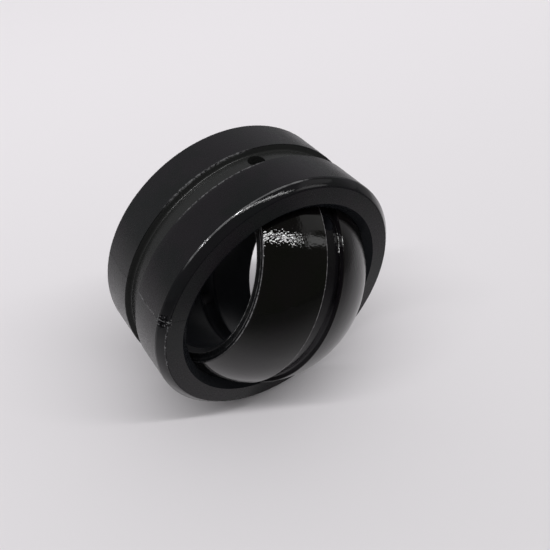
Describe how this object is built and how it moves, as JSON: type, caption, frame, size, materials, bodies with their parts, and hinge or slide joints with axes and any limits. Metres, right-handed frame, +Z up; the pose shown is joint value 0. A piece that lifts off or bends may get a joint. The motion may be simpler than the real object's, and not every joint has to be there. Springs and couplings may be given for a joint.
{
  "type": "spherical plain bearing",
  "caption": "Steel-on-steel radial spherical plain bearing: a blackened outer ring round a ball-shaped inner ring that swivels freely, with grease grooves and holes.",
  "frame": {"origin": "centre of the ball, which is also the middle of the outer ring on its axis", "axes": "+Y along the outer ring's axis, away from the end face that the picture shows; +Z up, with the outer ring on edge as pictured; +X completes the frame"},
  "size_m": [0.042, 0.036, 0.042],
  "materials": {
    "outer_steel": "black phosphated and oiled steel, satin, with a few bright scratches and rubbed edges",
    "ball_steel": "black oxidised and ground steel ball, glossy under a thin oil film"
  },
  "bodies": {
    "outer": {"outer_ring": "outer_steel"},
    "inner": {"inner_ring": "ball_steel"}
  },
  "joints": [
    {"name": "swivel", "type": "hinge", "parent": "outer", "child": "inner", "pos_m": [0, 0, 0], "axis": [0.518, 0, 0.8554], "continuous": true}
  ]
}
